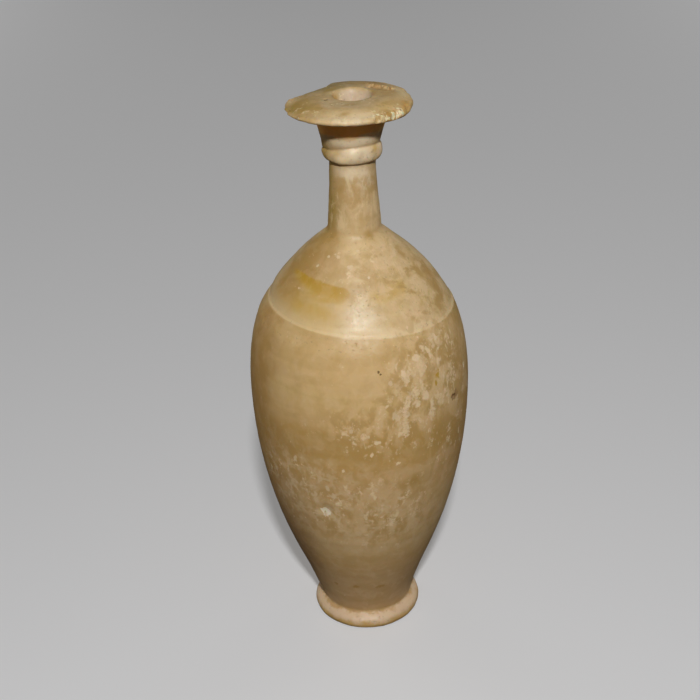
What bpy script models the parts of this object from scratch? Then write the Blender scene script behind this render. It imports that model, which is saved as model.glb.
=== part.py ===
"""Alabastron: a footed bottle of banded alabaster, turned and hollowed from one block.

The bottle stands on the flat underside of its foot, with its origin at the middle of that
underside, +Z up and its front towards -Y. All lengths are in metres.

The outline is a set of stations, each a height, a radius and a slope (radius gained for each
metre of height), joined by smooth curves. The solid is one closed skin: it starts in the
middle of the underside, climbs the foot, body, shoulder, neck and collar, turns over the
lip, and goes down the bore into the cavity. The skin is worked out one azimuth at a time,
because the shoulder line runs aslant round the body and the lip has lost part of its top.
"""

from math import cos, pi, radians, sin

import bmesh
import bpy

NODE = "vessel"
SEGMENTS = 60

# Foot: a disc with a round edge and a sloping top, turned a little off the body's axis.
UNDERSIDE_RADIUS = 0.0184
FOOT_RADIUS = 0.0196
FOOT_EDGE_HEIGHT = 0.0020
FOOT_TOP = (0.0181, 0.0044)
FOOT_OFFSET_X = 0.00045

# Body stations: (height, radius, slope).
BODY_FOOT = (0.0056, 0.0164, 0.30)
BODY_LOWER = (0.0270, 0.0240, 0.41)
BODY_WIDEST = (0.0972, 0.0382, 0.0)
BODY_TOP = (0.1302, 0.0314, -0.53)

# The shoulder was turned off the body's axis, towards the right. So the line where it meets
# the body runs higher at the left, and there the body's top leans in to reach it. A narrow
# ledge stands out below the line.
LINE_HEIGHT = 0.1291
LINE_RADIUS = 0.0312
LINE_FALL_TO_RIGHT = 0.0020
LEDGE_WIDTH = 0.0004
LEDGE_DROP = 0.0003
LEAN_IN_HEIGHT = 0.006
SHOULDER_OFFSET_X = 0.0014
SHOULDER_SLOPE = -0.45
SHOULDER_SLOPE_TO_RIGHT = -0.10
SHOULDER_TOP = (0.1527, 0.0108, -1.23)

# Neck, collar and the cone that flares up to the lip.
NECK_FOOT = (0.1556, 0.0090, -0.07)
NECK_TOP = (0.1790, 0.00765, 0.02)
COLLAR_RADIUS = 0.0099
COLLAR_HEIGHT = 0.0048
COLLAR_RISE_TO_FRONT = 0.0014
COLLAR_RISE_TO_RIGHT = 0.0004
GROOVE_RADIUS = 0.0090
CONE_FOOT_RADIUS = 0.0094
CONE_TOP = (0.1956, 0.0123)

# Lip: a broad disc with a thin edge and a low dome, a little off the axis.
HEIGHT = 0.200
LIP_RADIUS = 0.0206
LIP_EDGE_HEIGHT = 0.1965
LIP_UNDERSIDE_EDGE = (0.1960, 0.0188)
LIP_SHOULDER = (0.1984, 0.0194)
LIP_RISE_TO_RIGHT = 0.0007
MOUTH_RADIUS = 0.0068
LIP_OFFSET_X = -0.0006

# The top of the lip has flaked away over its back left part.
LOSS_AZIMUTH = radians(168)
LOSS_HALF_WIDTH = radians(57)
LOSS_DEPTH = 0.0019

# Inside: a drilled bore under a funnel mouth, and a hollow that follows the outside.
BORE_RADIUS = 0.0048
BORE_TOP = 0.1915
CAVITY_TOP = (0.1485, BORE_RADIUS, -1.35)
CAVITY_SHOULDER = (0.1270, 0.0260, -0.60)
CAVITY_WIDEST = (0.0970, 0.0326, 0.0)
CAVITY_LOWER = (0.0300, 0.0185, 0.42)
CAVITY_FLOOR = 0.0125


def curve(stations, height):
    """Radius of a smooth outline through the stations, at a height."""
    lower, upper = stations[0], stations[1]
    for pair in zip(stations, stations[1:]):
        if pair[0][0] <= height:
            lower, upper = pair
    span = upper[0] - lower[0]
    t = (height - lower[0]) / span
    start = (2 * t**3 - 3 * t**2 + 1) * lower[1] + (t**3 - 2 * t**2 + t) * span * lower[2]
    end = (3 * t**2 - 2 * t**3) * upper[1] + (t**3 - t**2) * span * upper[2]
    return start + end


def curve_rows(stations, steps, start=None, end=None):
    """(radius, height) rows at even heights along the stations' curve, without the last."""
    low = stations[0][0] if start is None else start
    high = stations[-1][0] if end is None else end
    heights = [low + (high - low) * i / steps for i in range(steps)]
    return [(curve(stations, z), z) for z in heights]


def arc_rows(centre, radii, first, last, steps):
    """(radius, height) rows along an elliptical arc, angles in degrees above the horizontal."""
    angles = [radians(first + (last - first) * i / steps) for i in range(steps + 1)]
    return [(centre[0] + radii[0] * cos(a), centre[1] + radii[1] * sin(a)) for a in angles]


def smooth_step(value, low, high):
    """0 below low, 1 above high, and a smooth rise between."""
    t = min(max((value - low) / (high - low), 0.0), 1.0)
    return t * t * (3 - 2 * t)


def foot_rows():
    """The round edge of the foot, from the underside to its top."""
    edge_width = FOOT_RADIUS - UNDERSIDE_RADIUS
    edge = arc_rows((UNDERSIDE_RADIUS, FOOT_EDGE_HEIGHT), (edge_width, FOOT_EDGE_HEIGHT), -90, 0, 4)
    return edge + [(FOOT_RADIUS - 0.0004, 0.0034), FOOT_TOP]


def line_height(azimuth):
    """Height of the aslant line where the shoulder meets the body."""
    return LINE_HEIGHT - LINE_FALL_TO_RIGHT * cos(azimuth)


def belly_rows(azimuth):
    """The belly up to the outer edge of the ledge under the shoulder line."""
    belly = [BODY_FOOT, BODY_LOWER, BODY_WIDEST, BODY_TOP]
    edge = line_height(azimuth) - LEDGE_DROP
    edge_radius = LINE_RADIUS + SHOULDER_OFFSET_X * cos(azimuth) + LEDGE_WIDTH
    lean_in = curve(belly, edge) - edge_radius
    rows = curve_rows(belly, 15, end=edge - LEAN_IN_HEIGHT)
    rows += curve_rows(belly, 2, start=edge - LEAN_IN_HEIGHT, end=edge)
    rows += [(curve(belly, edge), edge)]
    climbs = [max(0.0, 1 - (edge - z) / LEAN_IN_HEIGHT) for _, z in rows]
    return [(r - lean_in * climb**2, z) for (r, z), climb in zip(rows, climbs)]


def shoulder_rows(azimuth):
    """The shoulder from its line up, shifted to the right by an offset that fades upwards."""
    line = line_height(azimuth)
    slope = SHOULDER_SLOPE + SHOULDER_SLOPE_TO_RIGHT * cos(azimuth)
    rows = []
    for radius, height in curve_rows([(line, LINE_RADIUS, slope), SHOULDER_TOP], 7):
        climb = (height - line) / (SHOULDER_TOP[0] - line)
        shift = SHOULDER_OFFSET_X * (1 - smooth_step(climb, 0.35, 0.95))
        rows.append((radius + shift * cos(azimuth), height))
    return rows


def neck_rows():
    """The fillet at the neck's foot and the neck."""
    return curve_rows([SHOULDER_TOP, NECK_FOOT], 3) + curve_rows([NECK_FOOT, NECK_TOP], 4)


def collar_top(azimuth):
    """Height of the groove over the collar, which stands tallest at the front."""
    front = max(0.0, -sin(azimuth))
    rise = COLLAR_RISE_TO_FRONT * front**2 + COLLAR_RISE_TO_RIGHT * cos(azimuth)
    return NECK_TOP[0] + COLLAR_HEIGHT + rise


def collar_rows(azimuth):
    """The collar, a round ring, then the groove and the foot of the cone above it."""
    top = collar_top(azimuth)
    half = (top - NECK_TOP[0]) / 2
    bulge = COLLAR_RADIUS - NECK_TOP[1]
    ring = arc_rows((NECK_TOP[1], NECK_TOP[0] + half), (bulge, half), -85, 55, 6)
    return ring + [(GROOVE_RADIUS, top), (CONE_FOOT_RADIUS, top + 0.0008)]


def loss(azimuth, radius):
    """How much of the lip's top is lost at a place."""
    turn = abs((azimuth - LOSS_AZIMUTH + pi) % (2 * pi) - pi)
    round_the_lip = 1 - smooth_step(turn, LOSS_HALF_WIDTH * 0.9, LOSS_HALF_WIDTH * 1.1)
    return LOSS_DEPTH * round_the_lip * smooth_step(radius, 0.0080, 0.0150)


def lip_rows(azimuth):
    """The cone, the thin edge and the low dome of the lip, up to the mouth."""
    mid_radius = (LIP_SHOULDER[1] + MOUTH_RADIUS) / 2
    top = [LIP_SHOULDER[::-1], (mid_radius + 0.002, 0.1991), (mid_radius - 0.0015, 0.1996)]
    top = [(r, z - loss(azimuth, r)) for r, z in top]
    edge = [LIP_UNDERSIDE_EDGE[::-1], (LIP_RADIUS, LIP_EDGE_HEIGHT)]
    rise = LIP_RISE_TO_RIGHT * cos(azimuth) / LIP_RADIUS
    tilted = [(r, z + rise * r) for r, z in edge + top]
    return [CONE_TOP[::-1]] + tilted + [(MOUTH_RADIUS + 0.0005, HEIGHT)]


def inside_rows():
    """The mouth's rounded edge, the funnel, the bore and the cavity, from top to bottom."""
    mouth = [(MOUTH_RADIUS, HEIGHT - 0.0005), (MOUTH_RADIUS - 0.0007, HEIGHT - 0.0030)]
    bore = [(BORE_RADIUS, BORE_TOP), (BORE_RADIUS, 0.172)]
    roof = curve_rows([CAVITY_SHOULDER, CAVITY_TOP], 4)
    belly = curve_rows([CAVITY_LOWER, CAVITY_WIDEST, CAVITY_SHOULDER], 8)
    depth = CAVITY_LOWER[0] - CAVITY_FLOOR
    floor = arc_rows((0, CAVITY_LOWER[0]), (CAVITY_LOWER[1], depth), -30, -75, 2)
    rising = floor[::-1] + belly + roof + [(BORE_RADIUS, CAVITY_TOP[0])]
    return mouth + bore + rising[::-1]


def axis_x(radius, height):
    """How far the foot and the lip's disc stand to the right of the bottle's axis."""
    foot = FOOT_OFFSET_X * (1 - smooth_step(height, 0.004, 0.014))
    lip = LIP_OFFSET_X * smooth_step(height, 0.190, 0.195) * smooth_step(radius, 0.012, 0.019)
    return foot + lip


def column(azimuth):
    """The whole skin at one azimuth, from the underside's edge to the cavity's floor."""
    rows = foot_rows() + belly_rows(azimuth) + shoulder_rows(azimuth)
    rows += neck_rows() + collar_rows(azimuth) + lip_rows(azimuth) + inside_rows()
    return [(axis_x(r, z) + r * cos(azimuth), r * sin(azimuth), z) for r, z in rows]


def build_vessel():
    """Joins the columns into one closed body, with a fan at each end of the skin."""
    mesh = bmesh.new()
    columns = []
    for i in range(SEGMENTS):
        azimuth = 2 * pi * i / SEGMENTS
        columns.append([mesh.verts.new(point) for point in column(azimuth)])
    underside = mesh.verts.new((FOOT_OFFSET_X, 0, 0))
    floor = mesh.verts.new((0, 0, CAVITY_FLOOR))
    for left, right in zip(columns, columns[1:] + columns[:1]):
        mesh.faces.new((underside, right[0], left[0]))
        for i in range(len(left) - 1):
            mesh.faces.new((left[i], right[i], right[i + 1], left[i + 1]))
        mesh.faces.new((floor, left[-1], right[-1]))
    data = bpy.data.meshes.new(NODE)
    mesh.to_mesh(data)
    mesh.free()
    data.shade_smooth()
    data.set_sharp_from_angle(angle=radians(35))
    vessel = bpy.data.objects.new(NODE, data)
    bpy.context.scene.collection.objects.link(vessel)
    return vessel


def alabaster():
    """Honey-cream banded calcite with a soft polish."""
    material = bpy.data.materials.new("banded alabaster")
    material.use_nodes = True
    shader = material.node_tree.nodes["Principled BSDF"]
    shader.inputs["Base Color"].default_value = (0.62, 0.46, 0.26, 1)
    shader.inputs["Roughness"].default_value = 0.45
    shader.inputs["Metallic"].default_value = 0.0
    return material


def main():
    for old in list(bpy.data.objects):
        bpy.data.objects.remove(old)
    vessel = build_vessel()
    vessel.data.materials.append(alabaster())


main()
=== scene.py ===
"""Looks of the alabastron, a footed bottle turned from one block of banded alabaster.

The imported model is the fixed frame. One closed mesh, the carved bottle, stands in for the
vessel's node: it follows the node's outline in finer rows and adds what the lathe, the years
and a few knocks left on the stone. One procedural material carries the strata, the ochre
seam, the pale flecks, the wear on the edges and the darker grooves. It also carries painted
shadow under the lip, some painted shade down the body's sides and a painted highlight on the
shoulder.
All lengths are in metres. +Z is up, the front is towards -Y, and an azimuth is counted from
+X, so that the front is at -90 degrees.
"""

from math import cos, exp, pi, radians, sin

import bpy
import numpy as np
from mathutils import Matrix, Vector


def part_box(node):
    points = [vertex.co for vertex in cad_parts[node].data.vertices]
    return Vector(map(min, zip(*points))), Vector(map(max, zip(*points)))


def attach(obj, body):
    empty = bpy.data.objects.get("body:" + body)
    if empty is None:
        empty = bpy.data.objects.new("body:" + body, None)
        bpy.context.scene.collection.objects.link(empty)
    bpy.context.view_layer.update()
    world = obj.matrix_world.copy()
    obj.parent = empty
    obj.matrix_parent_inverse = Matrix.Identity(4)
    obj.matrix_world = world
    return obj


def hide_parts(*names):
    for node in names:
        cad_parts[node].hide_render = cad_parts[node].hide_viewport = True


NODE = "vessel"
BODY = "root"

# The mesh: columns round the bottle.
COLUMNS = 300

# The outline follows the node's: its points are (height, radius) or (height, radius, slope).
# An offset's FADE or RISE is between two heights, or two shares of the shoulder's climb, and its
# REACH is between two radii. The mouth's rounded edge is given as (inwards, down) from its top.
HEIGHT = 0.200
UNDERSIDE_RADIUS = 0.0184
UNDERSIDE_FAN_RADIUS = UNDERSIDE_RADIUS * 0.3
FOOT_RADIUS = 0.0196
FOOT_EDGE_HEIGHT = 0.0020
FOOT_BROW = (0.0034, FOOT_RADIUS - 0.0004)
FOOT_TOP = (0.0044, 0.0181)
FOOT_OFFSET_X = 0.00045
FOOT_OFFSET_FADE = (0.004, 0.014)
BODY_FOOT = (0.0056, 0.0164, 0.30)
BODY_LOWER = (0.0270, 0.0240, 0.41)
BODY_WIDEST = (0.0972, 0.0382, 0.0)
BODY_TOP = (0.1302, 0.0314, -0.53)
BELLY = [BODY_FOOT, BODY_LOWER, BODY_WIDEST, BODY_TOP]
LINE_HEIGHT = 0.1291
LINE_RADIUS = 0.0312
LINE_FALL_TO_RIGHT = 0.0020
LEDGE_WIDTH = 0.0004
LEDGE_DROP = 0.0003
LEAN_IN_HEIGHT = 0.006
SHOULDER_OFFSET_X = 0.0014
SHOULDER_OFFSET_FADE = (0.35, 0.95)
SHOULDER_SLOPE = -0.45
SHOULDER_SLOPE_TO_RIGHT = -0.10
SHOULDER_TOP = (0.1527, 0.0108, -1.23)
NECK_FOOT = (0.1556, 0.0090, -0.07)
NECK_TOP = (0.1794, 0.00765, 0.02)
COLLAR_RADIUS = 0.0099
COLLAR_HEIGHT = 0.0045
COLLAR_RISE_TO_FRONT = 0.0014
COLLAR_RISE_TO_RIGHT = 0.0009
COLLAR_FULLNESS = 0.66
GROOVE_RADIUS = 0.0090
CONE_FOOT_RADIUS = 0.0094
CONE_FOOT_RISE = 0.0008
CONE_TOP = (0.1956, 0.0123)
LIP_RADIUS = 0.0206
LIP_UNDERSIDE_EDGE = (0.1960, 0.0188)
LIP_SHOULDER = (0.1983, 0.0185)
LIP_DOME_POWER = 3.4
LIP_DOME_INSET = 0.0005
LIP_TOP_BLEND = 0.0010
LIP_RISE_TO_RIGHT = 0.0003
LIP_RISE_TO_BACK = 0.0003
LIP_DROOP = 0.0013
LIP_DROOP_AZIMUTH = radians(-24)
LIP_DROOP_WIDTH = radians(34)
LIP_OFFSET_X = -0.0006
LIP_OFFSET_RISE = (0.190, 0.195)
LIP_OFFSET_REACH = (0.012, 0.019)
MOUTH_RADIUS = 0.0063
MOUTH_ROUNDING = [(0.0, 0.0005), (0.0004, 0.0015), (0.0007, 0.0030)]
MOUTH_OFFSET_X = 0.0005
MOUTH_OFFSET_RISE = (0.190, 0.197)
MOUTH_OFFSET_REACH = (0.0068, 0.0092)
BORE_RADIUS = 0.0048
BORE_TOP = 0.1915
CAVITY_TOP = (0.1485, BORE_RADIUS, -1.35)
CAVITY_SHOULDER = (0.1270, 0.0260, -0.60)
CAVITY_WIDEST = (0.0970, 0.0326, 0.0)
CAVITY_LOWER = (0.0300, 0.0185, 0.42)
CAVITY_FLOOR = 0.0125

# The piece broken from the lip's edge at the back left: its straight edge and its step.
BREAK_AZIMUTH = radians(119)
BREAK_DISTANCE = 0.0152
BREAK_STEP = (radians(104), radians(126))
BREAK_ROOT = 0.0124
BREAK_SINK = 0.0005
BREAK_SINK_REACH = (0.009, 0.0150)
BREAK_WAVES = [(0.00015, 31), (0.0001, 67)]

# The lip's left end, worn low.
WORN_TIP_AZIMUTH = radians(184)
WORN_TIP_WIDTH = radians(32)
WORN_TIP_SINK = 0.0013
WORN_TIP_REACH = (0.0120, 0.0200)

# The flake scar on the lip's top, right of and behind the mouth: it ends at a straight scarp.
SCAR_AZIMUTH = radians(66)
SCAR_DISTANCE = 0.0105
SCAR_SIDES = (-0.0118, -0.0004)
SCAR_SIDE_FADE = 0.0020
SCAR_SLOPE = (0.0060, 0.0098)
SCAR_DEPTH = 0.0008
SCARP = (-0.0002, 0.0005)
SCALLOP_RATE = 1150
SCALLOP_SWAY = (1.1, 430)
SCALLOP_DEPTH = 0.0009
SCALLOP_TEETH = (0.0003, 3700)

# Layers of seeded bumps: (height, width, seed). The collar's lie in a soft belt, given by its
# middle and reach, and the foot's wear fades out between two heights above and two below.
SWELL = [(0.00012, 0.030, 1), (0.00006, 0.012, 2)]
TURNING_RINGS = [(0.000025, 0.0022, 3), (0.00002, 0.0009, 4)]
TURNING_LEAN = 0.02
WEATHERING = [(0.00010, 0.0045, 5), (0.00007, 0.0020, 6)]
FOOT_WEAR = [(0.00016, 0.0050, 7), (0.00008, 0.0018, 8)]
COLLAR_LUMPS = [(0.00038, 0.0046, 9), (0.00014, 0.0022, 10)]
COLLAR_LUMPS_BELT = (0.1826, 0.0032)
FOOT_WEAR_TOP = (0.0046, 0.0062)
FOOT_WEAR_BOTTOM = (0.0002, 0.0010)
NOISE_CELLS = 32

# Where the polish has weathered off: soft patches, soft belts (middle, reach, strength), the
# reach and strength of the shoulder line's, and where the neck and lip begin and the foot ends.
WORN_LEAST = 0.10
WORN_PATCHES = [((-30, 0.140), (55, 0.013), 1.0), ((-88, 0.1375), (12, 0.0035), 0.7)]
WORN_BELTS = [(0.1262, 0.0026, 1.0), (0.1540, 0.0030, 1.0), (0.1822, 0.0040, 0.4)]
WORN_ARRIS = (0.0008, 0.8)
WORN_NECK = (0.154, 0.160)
WORN_LIP = (0.195, 0.197)
WORN_FOOT = (0.006, 0.010)

# How far seeded noise moves the stains' edges: round the bottle, up it, and out on the lip.
STAIN_TURN = [(radians(5), 0.0050, 21)]
STAIN_CLIMB = [(0.0010, 0.0045, 22)]
STAIN_DRIFT = [(0.0008, 0.0035, 23)]

# Chips by place: how many, (azimuths), (heights), (radii), their depth to a radius, their tilt.
CHIP_SEED = 11
LIP_CHIPS = (70, (-pi, pi), (0.1960, 0.1986), (0.0009, 0.0026), 0.11, 0.3)
CORNER_CHIPS = (34, (radians(-66), radians(-20)), (0.1962, 0.1988), (0.0006, 0.0015), 0.34, 0.8)
COLLAR_CHIPS = (22, (-pi, pi), (0.1795, 0.1850), (0.0008, 0.0022), 0.10, 0.2)
FOOT_CHIPS = (14, (-pi, pi), (0.0026,), (0.0010, 0.0028), 0.07, 0.5)
LIP_PIT_LEVEL = HEIGHT - 0.0004
LIP_PIT_SIZE = (0.0014, 0.0002)
BODY_CHIP_SIZE = (0.0034, 0.0005)
BODY_CHIP_RISE = 0.0012
BODY_CHIP_TILT = -0.35

# Heights between which layers of the material begin or end.
WISPS_BEGIN = (0.1545, 0.1585)
WISPS_END = (0.1738, 0.1765)
WISP_SHADOWS_GROW = (0.1580, 0.1680)
CRYSTALS_BEGIN = (0.1945, 0.1960)
FOOT_FACE_BEGINS = (0.0014, 0.0038)
FOOT_FACE_ENDS = (0.0046, 0.0058)

# The camera and the light, placed round the bottle as it stands 0.2 m tall.
CAMERA_PLACE = (0.0, -0.430, 0.3372)
CAMERA_YAW = radians(-0.397)
CAMERA_PITCH = radians(28.08)
CAMERA_ROLL = radians(2.03)
LENS_MM = 71.72
KEY_PLACE = (0.018, -0.635, 0.658)
KEY_SIZE = (0.05, 0.05)
KEY_POWER = 5.0
FILL_PLACES = [(-0.92, 0.92, 0.10), (0.92, 0.92, 0.10)]
FILL_SIZE = (0.7, 0.2)
FILL_POWER = 4.0
SKY_STRENGTH = 0.027
SKY_COLOUR = (1.0, 0.94, 0.86)
BOUNCE_PLACE = (0.0, -0.62, 0.05)
BOUNCE_SIZE = (0.5, 0.06)
BOUNCE_POWER = 0.14
BOUNCE_COLOUR = (1.0, 0.70, 0.42)
FLOOR_GLOW = 0.20
FLOOR_SIZE = 10.0
FLOOR_RIM_WIDTH = 1.5
FLOOR_RIM_HEIGHT = 3.0
FLOOR_COLOUR = (0.62, 0.62, 0.63)

# The stone's colours, with two painted shadow colours among them.
HAZE = (0.70, 0.49, 0.25)
GOLD = (0.50, 0.31, 0.09)
ROSE = (0.87, 0.64, 0.38)
CREAM = (0.88, 0.68, 0.38)
FLECK = (0.92, 0.71, 0.44)
TAN = (0.54, 0.34, 0.12)
OLIVE = (0.42, 0.28, 0.06)
OCHRE = (0.57, 0.335, 0.035)
RUST = (0.62, 0.33, 0.10)
UMBER = (0.16, 0.08, 0.02)
BARK = (0.38, 0.22, 0.09)
# Painted shadow colours: a warm brown for the lip's shadow on the cone, and a dark brown for its
# deepest parts.
LIP_SHADOW_BROWN = (0.95, 0.50, 0.11)
SHADE = (0.25, 0.14, 0.05)
CHALK = (1.0, 0.88, 0.66)
SHELL = (0.71, 0.56, 0.40)
PALE = (0.88, 0.73, 0.50)
DUN = (0.63, 0.47, 0.26)
LEMON = (0.65, 0.42, 0.10)
CRYSTAL = (1.0, 0.90, 0.58)
CLAY = (0.50, 0.29, 0.09)
BUFF = (0.80, 0.62, 0.38)
CURD = (0.78, 0.59, 0.35)
FOOT_FACE = (0.76, 0.56, 0.36)
FOOT_EDGE = (0.63, 0.40, 0.14)
MOSS = (0.31, 0.23, 0.09)
BRAN = (0.44, 0.31, 0.14)

# The strata from the foot up: (height, colour).
STRATA = [
    # The lowest strata are a little darker, partly painted shade near the floor.
    (0.020, (0.59, 0.38, 0.18)),
    (0.034, (0.63, 0.41, 0.18)),
    (0.044, (0.68, 0.47, 0.22)),
    (0.058, (0.68, 0.46, 0.21)),
    (0.074, (0.65, 0.42, 0.18)),
    (0.084, (0.60, 0.37, 0.12)),
    (0.095, (0.62, 0.39, 0.13)),
    (0.098, (0.71, 0.47, 0.20)),
    (0.110, (0.74, 0.52, 0.23)),
    (0.113, (0.74, 0.51, 0.23)),
    (0.128, (0.70, 0.48, 0.21)),
    (0.132, (0.76, 0.56, 0.28)),
    (0.155, (0.74, 0.54, 0.28)),
    (0.178, (0.64, 0.46, 0.24)),
    (0.200, (0.74, 0.52, 0.24)),
]

# Soft patches: (azimuth in degrees, height), their reach both ways, and their strength.
FLECK_AND_GLINT_PATCHES = [
    ((-48, 0.116), (22, 0.013), 1.00),
    ((-64, 0.105), (18, 0.010), 0.65),
    ((-80, 0.094), (22, 0.007), 0.50),
    ((-122, 0.074), (34, 0.012), 0.42),
    ((-98, 0.101), (14, 0.007), 0.45),
    ((-70, 0.066), (26, 0.016), 0.45),
    ((-30, 0.088), (20, 0.018), 0.45),
    ((-95, 0.055), (50, 0.010), 0.40),
    ((-95, 0.146), (45, 0.006), 0.30),
    # Painted highlight: more pale specks where the lamp's highlight lies on the shoulder's front.
    ((-88, 0.1385), (10, 0.0030), 0.45),
    ((35, 0.104), (40, 0.020), 0.80),
    ((120, 0.070), (50, 0.022), 0.60),
    ((-50, 0.1974), (14, 0.0014), 1.10),
]
CURD_PATCHES = [
    ((-122, 0.0700), (34, 0.0160), 1.0),
    ((-78, 0.0560), (34, 0.0140), 0.6),
    ((-50, 0.1120), (26, 0.0160), 0.25),
    ((80, 0.0850), (60, 0.0250), 0.7),
]
CRUST_PATCHES = [
    ((-46, 0.1465), (44, 0.0080), 1.0),
    ((-30, 0.1350), (30, 0.0085), 1.1),
    ((60, 0.1400), (50, 0.0120), 0.7),
    ((-105, 0.1765), (36, 0.0030), 0.6),
]

# The flecks' least share and the heights over which they set in, on the body and on the lip.
FLECKS_LEAST = 0.18
FLECKS_RISE = (0.012, 0.034)
LIP_FLECKS = 0.20
LIP_FLECKS_RISE = (0.195, 0.1965)

# The darkening in the grooves, and the cream veil over the shoulder line.
GROOVE_HALF_WIDTH = 0.00035
VEIL_HEIGHT = 0.0034
VEIL_OVERLAP = 0.0004

# The ochre seam: its height, its climb to the left and its dip in front, each with the pairs of
# azimuths in degrees where it begins or ends, and its stretches: (swell, end, strength).
SEAM_HEIGHT = 0.1402
SEAM_HALF_WIDTH = 0.0023
SEAM_CLIMB = (0.0024, (-170, -95))
SEAM_DIP = (0.0008, (-90, -75), (20, 60))
SEAM_STRETCHES = [
    ((-172, -122), (-102, -93), 1.0),
    ((-86, -72), (-62, -42), 0.12),
    ((10, 60), (100, 150), 0.8),
]

# Broad stains below the lip, with some painted shade and a painted highlight: (azimuth in degrees,
# height), their reach, strength and colour.
STAINS_AND_PAINTED_LIGHT = [
    ((-90, 0.1874), (58, 0.0022), 0.95, PALE),
    # Painted shadow where the lip's shadow wraps down the cone's left and right ends.
    ((-164, 0.1870), (18, 0.0030), 0.5, SHADE),
    ((-20, 0.1880), (16, 0.0026), 0.9, SHADE),
    ((-84, 0.1824), (50, 0.0028), 0.8, PALE),
    ((-43, 0.1834), (8, 0.0012), 0.8, LEMON),
    ((-104, 0.1815), (10, 0.0012), 0.6, CREAM),
    ((-76, 0.1812), (7, 0.0014), 0.5, DUN),
    ((-124, 0.1832), (9, 0.0012), 0.5, TAN),
    ((-30, 0.1822), (5, 0.0010), 0.4, RUST),
    ((-20, 0.1825), (13, 0.0028), 0.7, PALE),
    ((-160, 0.1816), (18, 0.0040), 0.8, OLIVE),
    ((-158, 0.1685), (32, 0.0155), 1.0, OLIVE),
    ((-126, 0.1690), (14, 0.0035), 0.6, TAN),
    ((-76, 0.1690), (18, 0.0045), 0.4, TAN),
    ((-98, 0.1762), (34, 0.0024), 0.75, PALE),
    ((-60, 0.1740), (22, 0.0050), 0.6, PALE),
    ((-132, 0.1545), (15, 0.0022), 0.8, GOLD),
    ((-60, 0.1540), (14, 0.0024), 0.8, GOLD),
    ((-92, 0.1515), (40, 0.0014), 0.6, CREAM),
    ((-156, 0.1460), (24, 0.0080), 0.9, GOLD),
    ((-126, 0.1490), (20, 0.0045), 0.6, CLAY),
    ((-112, 0.1478), (24, 0.0024), 0.3, ROSE),
    ((-128, 0.1345), (30, 0.0036), 0.8, LEMON),
    ((-120, 0.1390), (22, 0.0010), 0.6, LEMON),
    ((-72, 0.1390), (8, 0.0016), 0.7, LEMON),
    ((-56, 0.1404), (9, 0.0022), 0.6, LEMON),
    # Painted highlight: a pale patch where the lamp's highlight lies on the shoulder's front.
    ((-88, 0.1340), (12, 0.0060), 0.7, PALE),
    ((-48, 0.1325), (14, 0.0026), 0.6, ROSE),
    ((-8, 0.1255), (10, 0.0030), 0.7, OLIVE),
    ((-26, 0.1120), (8, 0.0180), 0.5, TAN),
    ((-14, 0.1400), (10, 0.0080), 0.6, CLAY),
    ((-106, 0.0945), (16, 0.0030), 0.5, GOLD),
    ((-84, 0.0890), (40, 0.0045), 0.5, GOLD),
    ((-40, 0.0880), (16, 0.0060), 0.6, GOLD),
    ((-58, 0.0735), (10, 0.0050), 0.7, GOLD),
    ((-138, 0.0885), (24, 0.0055), 0.6, TAN),
    ((-28, 0.0820), (12, 0.0140), 0.5, CLAY),
    ((-95, 0.0440), (45, 0.0030), 0.5, HAZE),
    ((-130, 0.0640), (26, 0.0120), 0.45, HAZE),
    # Darker browns towards the body's left and right edges, low down: partly the stone's colour,
    # partly painted shade.
    ((-159, 0.0900), (21, 0.0600), 0.95, CLAY),
    ((-148, 0.0400), (24, 0.0220), 0.75, BARK),
    ((-14, 0.0850), (14, 0.0500), 0.6, CLAY),
]

# Stains on the lip: the second number is the distance from its middle.
LIP_STAINS = [
    ((-90, 0.0110), (400, 0.0055), 0.8, DUN),
    ((-166, 0.0190), (14, 0.0030), 0.9, OLIVE),
    ((-148, 0.0180), (20, 0.0034), 0.9, GOLD),
    ((-166, 0.0135), (28, 0.0036), 0.6, GOLD),
    ((-158, 0.0170), (26, 0.0040), 0.5, OLIVE),
    ((-144, 0.0209), (14, 0.0007), 0.7, ROSE),
    ((126, 0.0122), (40, 0.0050), 0.95, MOSS),
    ((148, 0.0080), (26, 0.0011), 0.85, OLIVE),
    ((76, 0.0113), (20, 0.0009), 0.7, CLAY),
    ((72, 0.0140), (40, 0.0034), 0.9, BRAN),
    ((36, 0.0120), (30, 0.0020), 0.9, CLAY),
    ((10, 0.0082), (26, 0.0014), 0.7, GOLD),
    ((-8, 0.0122), (30, 0.0034), 0.5, TAN),
    ((14, 0.0176), (22, 0.0016), 0.6, CREAM),
    ((-24, 0.0195), (7, 0.0013), 0.9, RUST),
    ((-88, 0.0184), (36, 0.0022), 0.8, CREAM),
    ((-134, 0.0192), (14, 0.0020), 0.6, TAN),
    ((-80, 0.0196), (34, 0.0014), 0.7, PALE),
    ((-45, 0.0153), (16, 0.0030), 0.6, LEMON),
    ((-48, 0.0200), (24, 0.0017), 0.7, LEMON),
    ((-88, 0.0108), (12, 0.0011), 0.6, GOLD),
    ((-134, 0.0149), (9, 0.0016), 0.6, GOLD),
    ((-99, 0.0170), (6, 0.0009), 0.7, GOLD),
]

# Where the lip's own stains take over, the mouth's edge, the painted shadow under the lip, its
# sides and its deepest place, and the ochre side of the mouth.
LIP_GROUND = (0.1958, 0.1966)
MOUTH_EDGE = (0.0060, 0.0067)
UNDER_LIP = 0.186
SHADE_EDGE = (0.1891, 0.1903)
SHADE_SIDES = (-0.15, 0.35)
DEEP_SHADE = ((-26, 0.1930), (20, 0.0050))
MOUTH_OCHRE = ((160, 0.195), (26, 0.02))

# Pits in the lip's top: azimuth in degrees and distance from the middle.
LIP_PITS = [(-153, 0.0088), (-30, 0.0090)]

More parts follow.
